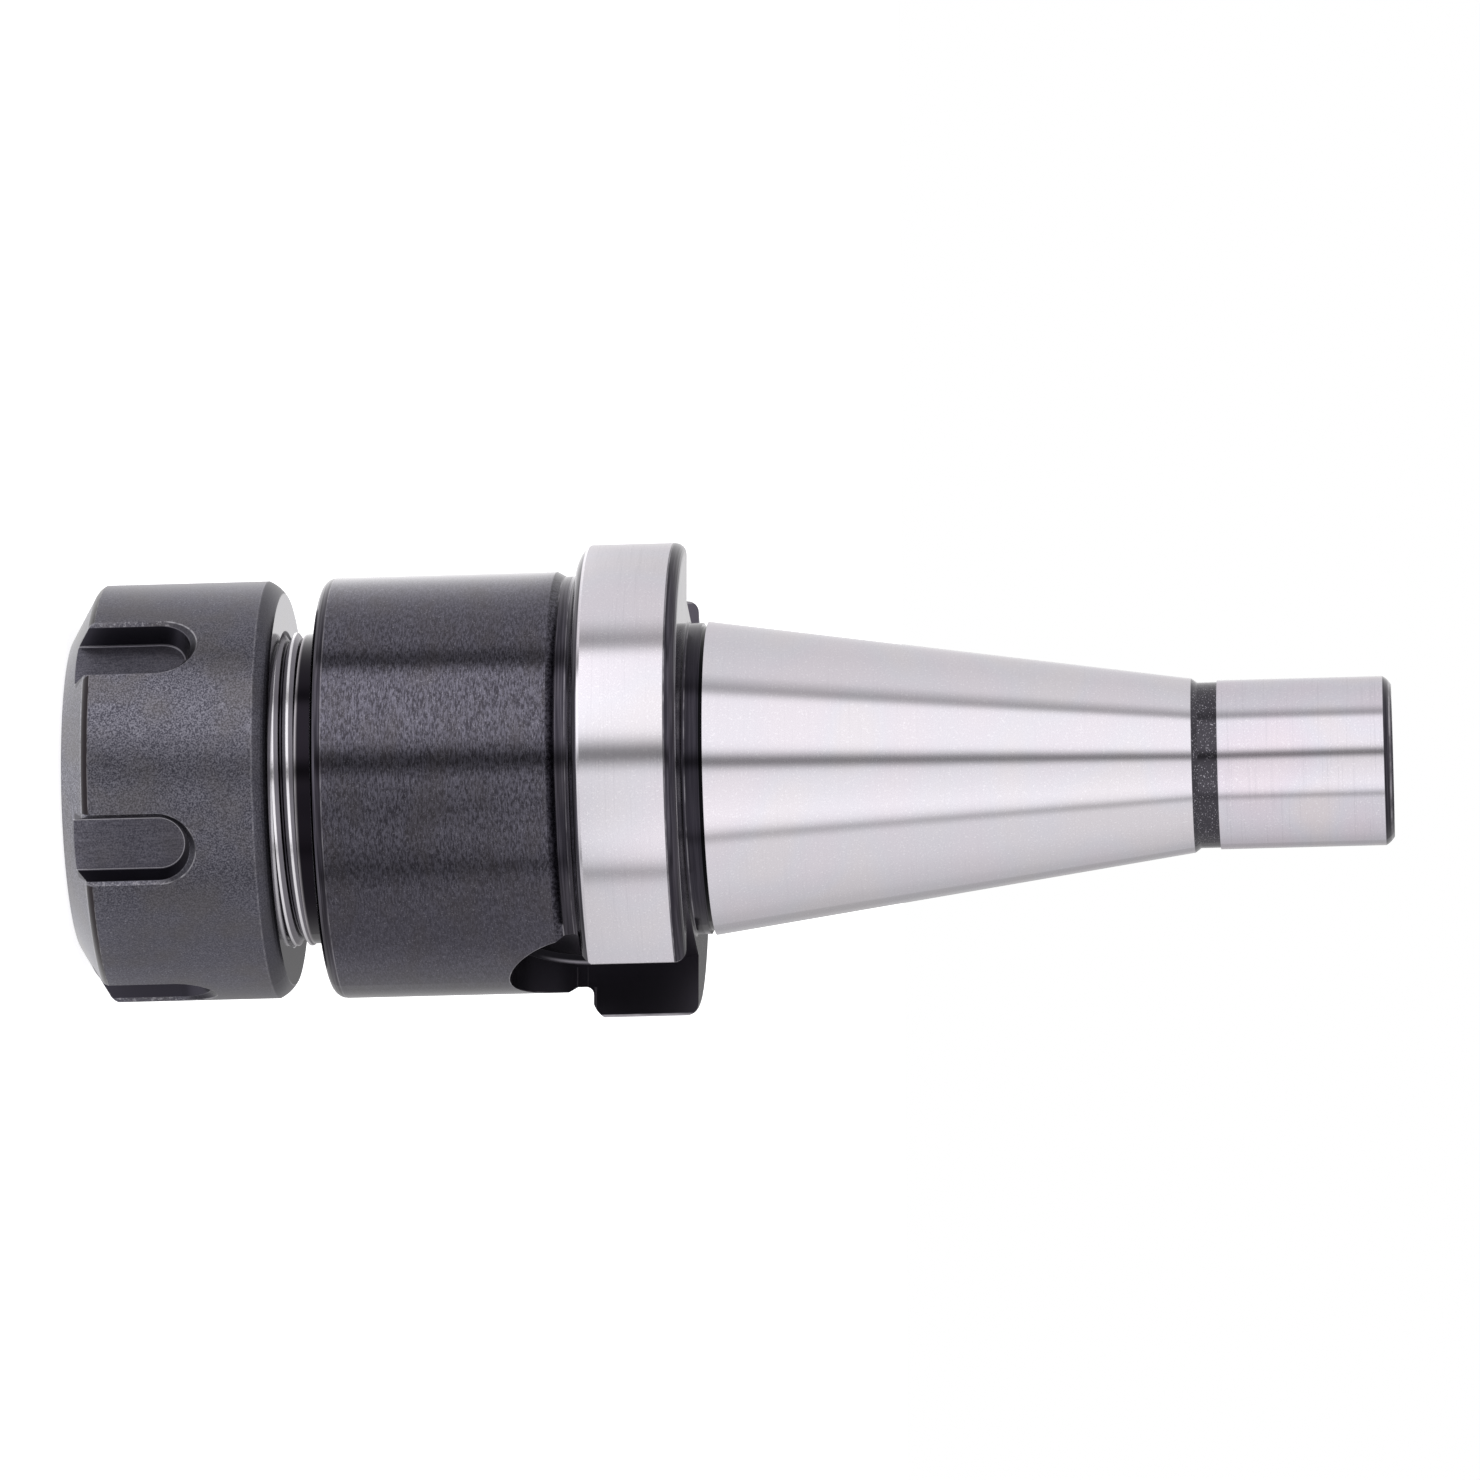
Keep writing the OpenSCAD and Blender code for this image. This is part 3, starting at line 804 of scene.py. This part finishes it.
# %% [markdown]
# ## The thread's bare steel
#
# The thread was cut after the bath, so it is bare and its crests are bright. Its flanks are painted grey
# and its roots near black, as painted shade. The flanks of a real thread round over into the crest, while
# the ridge's are flat. A bump makes up for it. Its height falls outwards on the upper flank, which turns
# the normals outwards as a round edge would. It falls a little along the axis too, so that the two flanks
# of a turn mirror different parts of the tent.

# %% Thread material
FLANK_ROUND = 15.35
ROUND_SLOPE = -1.4
PUSHED_SLOPE = -0.12
THREAD_ROUGHNESS = 0.32
CREST_ROUGHNESS = 0.16
CREST_TURN = CREST_HEIGHT / PITCH - CREST_ANGLE / FULL_TURN


def thread_material():
    material, tree = new_material("cut_steel_thread")
    place = place_on_part(tree)
    crest = soft_edge(tree, place.radius, CREST_RADIUS - 0.13, CREST_RADIUS - 0.01)
    flank = soft_edge(tree, place.radius, CORE_RADIUS, FLANK_ROUND)
    # Painted shade: near black at the root, grey up the flanks; the crests are bare steel.
    colour = layer(tree, layer(tree, "#232126", "#7A777E", flank), "#E8E6EA", crest)
    smoother = CREST_ROUGHNESS - THREAD_ROUGHNESS
    roughness = add(tree, "Math", (crest, smoother, THREAD_ROUGHNESS), operation="MULTIPLY_ADD")
    past_crest = add(tree, "Math", (along_thread(tree, place, PITCH), CREST_TURN), operation="SUBTRACT")
    from_crest = add(tree, "Math", (past_crest, 0.5, -0.5), operation="WRAP")
    rounding = product(tree, beyond(tree, place.radius, FLANK_ROUND), ROUND_SLOPE)
    relief = add(tree, "Math", (from_crest, PUSHED_SLOPE * PITCH, rounding), operation="MULTIPLY_ADD")
    metal_surface(tree, colour, roughness, relief)
    return material


thread.data.materials.append(thread_material())
print("thread material:", thread.data.materials[0].name)


# %% [markdown]
# ## The light tent
#
# The photograph has a pure white ground, and the steel mirrors a white tent with three thin seams. Those
# seams are the dark lines along the part, and a line at an angle to the camera mirrors a seam at twice
# that angle. The tent is painted in the world by the angle round the part's axis, so it needs no lamps
# behind the camera. Each pair below is an angle from the camera, in degrees, and how bright the tent is
# there.

# %% Tent
VIEW_ANGLE = math.radians(-69)
BRIGHTEST = 2.0
WALLS = [
    (-180, 1.00), (-165, 0.85), (-150, 0.79), (-120, 0.80), (-90, 0.87), (-84, 0.86), (-80, 0.74),
    (-76, 0.60), (-72, 0.45), (-68, 0.58), (-65, 0.98), (-62, 1.18), (-26, 1.22), (-22, 1.14),
    (-18, 0.72), (-15, 0.27), (-11, 0.20), (-8, 0.62), (-5, 1.00), (0, 1.06), (28, 1.22),
    (36, 1.15), (41, 0.84), (44, 0.49), (47, 0.66), (51, 0.92), (80, 0.88), (115, 0.73),
    (150, 0.46), (169, 0.58), (176, 0.40), (180, 0.15),
]
OVERHEAD = (0.8, 0.79, 0.8, 1)
OVERHEAD_START = (0.75, 0.95)
WHITE = (1, 1, 1, 1)


def painted_round(tree, direction, levels):
    turned = add(tree, "VectorRotate", {"Vector": direction, "Angle": -VIEW_ANGLE}, rotation_type="Z_AXIS")
    x, y, _ = add(tree, "SeparateXYZ", [turned]).node.outputs
    angle = add(tree, "Math", (y, x), operation="ARCTAN2")
    share = add(tree, "Math", (angle, 1 / FULL_TURN, 0.5), operation="MULTIPLY_ADD")
    painted = add(tree, "ValToRGB", [share])
    stops = painted.node.color_ramp.elements
    for stop, (_, level) in zip(stops, (levels[0], levels[-1])):
        stop.color = [level / BRIGHTEST] * 3 + [1.0]
    for degrees, level in levels[1:-1]:
        stops.new(degrees / 360 + 0.5).color = [level / BRIGHTEST] * 3 + [1.0]
    brightness = (BRIGHTEST, BRIGHTEST * 0.99, BRIGHTEST)
    return add(tree, "VectorMath", (painted, brightness), operation="MULTIPLY")


def light_tent():
    world = bpy.data.worlds.new("tent")
    world.use_nodes = True
    tree = world.node_tree
    tree.nodes.clear()
    direction = add(tree, "TexCoord", output="Generated")
    walls = painted_round(tree, direction, WALLS)
    upward = add(tree, "SeparateXYZ", [direction], output=2)
    steepness = add(tree, "Math", [upward], operation="ABSOLUTE")
    tent = layer(tree, walls, OVERHEAD, soft_edge(tree, steepness, *OVERHEAD_START))
    seen = add(tree, "LightPath", output="Is Camera Ray")
    background = add(tree, "Background", {"Color": layer(tree, tent, WHITE, seen), "Strength": 1.0})
    add(tree, "OutputWorld", {"Surface": background})
    return world


bpy.context.scene.world = light_tent()
print("tent with", len(WALLS), "levels")


# %% [markdown]
# ## The table
#
# The part stands on white paper. A camera that looks down a little sees the paper mirrored in every
# upright surface: the nut mirrors it near by, the body further out and the flange furthest. So the paper
# has its own levels for mirrored rays, by the angle round the part and by the distance from it. For the
# camera it is plain white and keeps a soft shadow.

# %% Table
TABLE = [
    (-180, 1.10), (-165, 1.40), (-150, 1.52), (-130, 1.34), (-115, 1.10), (-100, 0.95), (-84, 0.88),
    (-79, 0.70), (-75, 0.40), (-71, 0.32), (-68, 0.46), (-65, 1.10), (-61, 1.60), (-36, 1.60),
    (-24, 1.32), (-20, 0.75), (-16, 0.34), (-12, 0.26), (-8, 0.55), (-3, 0.90), (4, 0.68),
    (14, 0.57), (26, 0.66), (38, 0.48), (44, 0.34), (50, 0.50), (56, 0.65), (90, 0.66),
    (112, 0.82), (145, 0.52), (170, 0.50), (180, 0.20),
]
NUT_REACH = (200, 245)
BODY_REACH = (580, 630)
FOOT_REACH = (24, 40)
NEAR_SHARE = 0.7
FOOT_LEVEL = (1.42, 1.42, 1.42, 1)
SEEN_LIFT = 0.8
PAPER_HALF = 1.5
PAPER_BELOW = 0.2 * MM


def table_material():
    material, tree = new_material("white_paper")
    place = place_on_part(tree)
    walls = painted_round(tree, place.point, WALLS)
    table = painted_round(tree, place.point, TABLE)
    past_nut = soft_edge(tree, place.radius, *NUT_REACH)
    share = add(tree, "Math", (past_nut, 1 - NEAR_SHARE, NEAR_SHARE), operation="MULTIPLY_ADD")
    mirrored = layer(tree, walls, table, share, soft_edge(tree, place.radius, *reversed(BODY_REACH)))
    mirrored = layer(tree, mirrored, FOOT_LEVEL, soft_edge(tree, place.radius, *reversed(FOOT_REACH)))
    mirrored_glow = add(tree, "Emission", {"Color": mirrored, "Strength": 1.0})

    rays = add(tree, "LightPath").node.outputs
    paper = add(tree, "BsdfDiffuse", {"Color": linear("#F4F4F5")})
    lift = product(tree, rays["Is Camera Ray"], SEEN_LIFT)
    seen = add(tree, "AddShader", (paper, add(tree, "Emission", {"Color": WHITE, "Strength": lift})))
    in_mirror = largest(tree, rays["Is Glossy Ray"], rays["Is Transmission Ray"])
    both = add(tree, "MixShader", (in_mirror, seen, mirrored_glow))
    add(tree, "OutputMaterial", {"Surface": both})
    return material


floor_mesh = bpy.data.meshes.new("floor")
floor_form = bmesh.new()
bmesh.ops.create_grid(floor_form, x_segments=1, y_segments=1, size=PAPER_HALF)
bmesh.ops.translate(floor_form, verts=floor_form.verts, vec=(0, 0, -PAPER_BELOW))
floor_form.to_mesh(floor_mesh)
floor_form.free()
floor = bpy.data.objects.new("floor", floor_mesh)
bpy.context.scene.collection.objects.link(floor)
floor.data.materials.append(table_material())
bpy.context.scene.view_settings.view_transform = "Standard"
print("table", [round(side, 2) for side in floor.dimensions], "with", len(TABLE), "levels")
